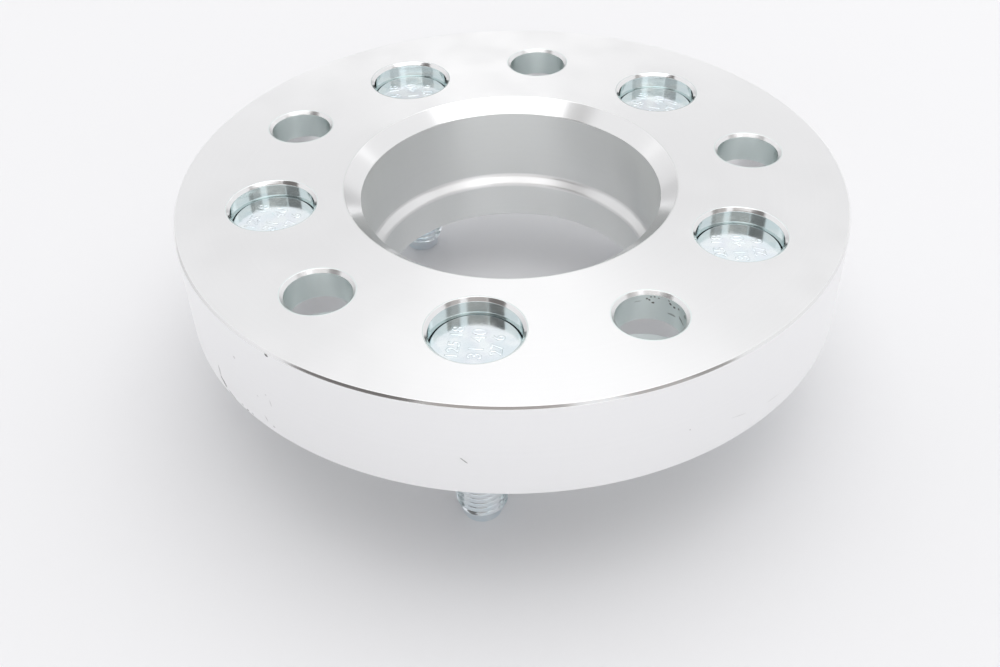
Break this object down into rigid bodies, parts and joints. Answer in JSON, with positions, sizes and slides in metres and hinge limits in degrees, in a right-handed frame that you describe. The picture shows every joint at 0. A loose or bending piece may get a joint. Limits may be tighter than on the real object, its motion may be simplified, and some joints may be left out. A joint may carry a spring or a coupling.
{
  "type": "wheel spacer",
  "caption": "Turned aluminium wheel spacer disc with a centring lip, recessed bolt holes and pressed-in studs on a second circle.",
  "frame": {"origin": "centre of the hub face, the upper face as the part stands", "axes": "+Z out of the hub face, along the wheel's axis, towards the hub; the wheel face, the centring lip and the studs point to -Z; the first stud is on -Y"},
  "size_m": [0.16, 0.16, 0.055],
  "materials": {
    "aluminium": "fine-turned 6061 aluminium, bare",
    "zinc_steel": "cold-headed steel, clear blue zinc"
  },
  "bodies": {
    "root": {"spacer_body": "aluminium", "wheel_stud_1": "zinc_steel", "wheel_stud_2": "zinc_steel", "wheel_stud_3": "zinc_steel", "wheel_stud_4": "zinc_steel", "wheel_stud_5": "zinc_steel"}
  },
  "joints": []
}
